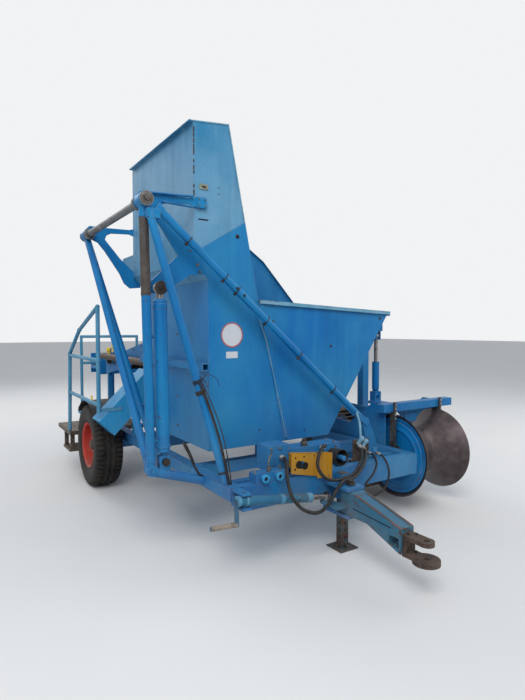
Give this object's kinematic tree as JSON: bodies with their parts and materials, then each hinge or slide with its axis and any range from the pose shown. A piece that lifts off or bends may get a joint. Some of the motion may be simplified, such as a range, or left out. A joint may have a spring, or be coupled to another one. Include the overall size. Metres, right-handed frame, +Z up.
{
  "type": "trailed potato harvester with side-tipping bunker",
  "caption": "Old blue trailed potato harvester with a ridge roller, digging web, picking table, platform and a tall bunker that tips to the right.",
  "frame": {"origin": "on the ground, below the middle of the whole machine's box", "axes": "+X to the machine's left side, +Y to its rear, +Z up; the drawbar points to -Y"},
  "size_m": [3.068, 5.05, 2.821],
  "materials": {
    "frame_blue": "weathered gloss blue paint with rust at the edges",
    "hopper_blue": "smooth blue paint on sheet steel, rubbed pale at its folds",
    "chute_blue": "chalky pale blue paint on sheet steel",
    "rail_blue": "pale worn blue paint on tube",
    "drawbar_worn": "teal-blue paint worn to brown steel",
    "guard_yellow": "yellow paint with scratches",
    "worn_steel": "brown rusted and soil-polished steel",
    "web_steel": "soil-worn steel rods",
    "bright_steel": "bare steel with light rust",
    "belt_rubber": "black rubber, dusty",
    "tyre_rubber": "black tyre rubber with dry dirt",
    "rim_red": "red paint, dusty"
  },
  "bodies": {
    "chassis": {"main_frame": "frame_blue", "axle_beam": "frame_blue", "front_post": "frame_blue", "front_strut": "frame_blue", "long_strut": "frame_blue", "rear_tower": "frame_blue", "cross_brace": "frame_blue", "gearbox": "frame_blue", "shaft_cone": "belt_rubber", "drive_guard": "guard_yellow", "valve_block": "frame_blue", "lift_gantry": "frame_blue", "trough_right": "frame_blue", "trough_left": "frame_blue", "main_web": "web_steel", "cross_conveyor": "frame_blue", "table_right": "frame_blue", "table_left": "frame_blue", "picking_belt": "belt_rubber", "leaning_bar": "worn_steel", "clod_chute": "chute_blue", "platform_deck": "web_steel", "side_railing": "rail_blue", "rear_railing": "rail_blue", "step": "web_steel", "fender": "belt_rubber", "hose_long": "belt_rubber", "hose_short": "belt_rubber", "hose_far": "belt_rubber", "hose_bracket": "worn_steel", "jack_sleeve": "frame_blue"},
    "drawbar": {"drawbar_beam": "drawbar_worn", "hitch_tongue": "worn_steel"},
    "jack": {"jack_leg": "worn_steel"},
    "spindle_tube": {"spindle_tube": "drawbar_worn"},
    "spindle_rod": {"spindle_rod": "bright_steel"},
    "bunker": {"hopper_shell": "hopper_blue", "discharge_chute": "chute_blue", "tip_bracket_front": "frame_blue", "tip_bracket_rear": "frame_blue", "pivot_shaft": "bright_steel", "side_rail": "frame_blue"},
    "tip_barrel": {"tip_barrel": "frame_blue"},
    "tip_rod": {"tip_rod": "bright_steel"},
    "digger": {"digger_frame": "frame_blue", "shares": "worn_steel", "digger_web": "web_steel", "roller_arms": "worn_steel"},
    "roller": {"ridge_roller": "worn_steel"},
    "lift_barrel": {"lift_barrel": "frame_blue"},
    "lift_rod": {"lift_rod": "bright_steel"},
    "wheel_right": {"tyre_right": "tyre_rubber", "rim_right": "rim_red"},
    "wheel_left": {"tyre_left": "tyre_rubber", "rim_left": "rim_red"}
  },
  "joints": [
    {"name": "wheel_right_spin", "type": "hinge", "parent": "chassis", "child": "wheel_right", "pos_m": [-1.271, 0.585, 0.38], "axis": [1, 0, 0], "continuous": true},
    {"name": "wheel_left_spin", "type": "hinge", "parent": "chassis", "child": "wheel_left", "pos_m": [1.409, 0.585, 0.38], "axis": [1, 0, 0], "continuous": true},
    {"name": "bunker_tip", "type": "hinge", "parent": "chassis", "child": "bunker", "pos_m": [-1.491, -0.62, 2.22], "axis": [0, -1, 0], "range_deg": [0, 110]},
    {"name": "tip_barrel_swing", "type": "hinge", "parent": "chassis", "child": "tip_barrel", "pos_m": [-1.371, -1.283, 0.64], "axis": [0, 1, 0], "range_deg": [0, 11.49]},
    {"name": "tip_rod_slide", "type": "slide", "parent": "tip_barrel", "child": "tip_rod", "axis": [-0.0169, 0, 0.9999], "range_m": [0, 0.8178]},
    {"name": "drawbar_steer", "type": "hinge", "parent": "chassis", "child": "drawbar", "pos_m": [-0.341, -1.855, 0.365], "axis": [0, 0, 1], "range_deg": [-12, 12]},
    {"name": "spindle_swing", "type": "hinge", "parent": "chassis", "child": "spindle_tube", "pos_m": [-1.071, -1.76, 0.4683], "axis": [0, 0, 1], "range_deg": [-4, 4]},
    {"name": "spindle_slide", "type": "slide", "parent": "spindle_tube", "child": "spindle_rod", "axis": [0.9908, 0, -0.1354], "range_m": [-0.03, 0.03]},
    {"name": "jack_slide", "type": "slide", "parent": "chassis", "child": "jack", "axis": [0, 0, 1], "range_m": [0, 0.2]},
    {"name": "digger_lift", "type": "hinge", "parent": "chassis", "child": "digger", "pos_m": [0.829, -0.215, 0.6], "axis": [-1, 0, 0], "range_deg": [-5, 4]},
    {"name": "roller_spin", "type": "hinge", "parent": "digger", "child": "roller", "pos_m": [0.83, -1.375, 0.435], "axis": [1, 0, 0], "continuous": true},
    {"name": "lift_barrel_swing", "type": "hinge", "parent": "digger", "child": "lift_barrel", "pos_m": [0.719, -1.015, 0.88], "axis": [-1, 0, 0], "range_deg": [-8, 8]},
    {"name": "lift_rod_slide", "type": "slide", "parent": "lift_barrel", "child": "lift_rod", "axis": [0, 0, 1], "range_m": [-0.09, 0.09]}
  ],
  "couplings": [
    {"joint": "tip_barrel_swing", "follows": "bunker_tip", "ratio": 0.0999},
    {"joint": "tip_rod_slide", "follows": "bunker_tip", "m_per_rad": 0.42339},
    {"joint": "spindle_swing", "follows": "drawbar_steer", "ratio": -0.19506},
    {"joint": "spindle_slide", "follows": "drawbar_steer", "m_per_rad": -0.09382},
    {"joint": "lift_barrel_swing", "follows": "digger_lift", "ratio": -1.524},
    {"joint": "lift_rod_slide", "follows": "digger_lift", "m_per_rad": -0.80089}
  ]
}
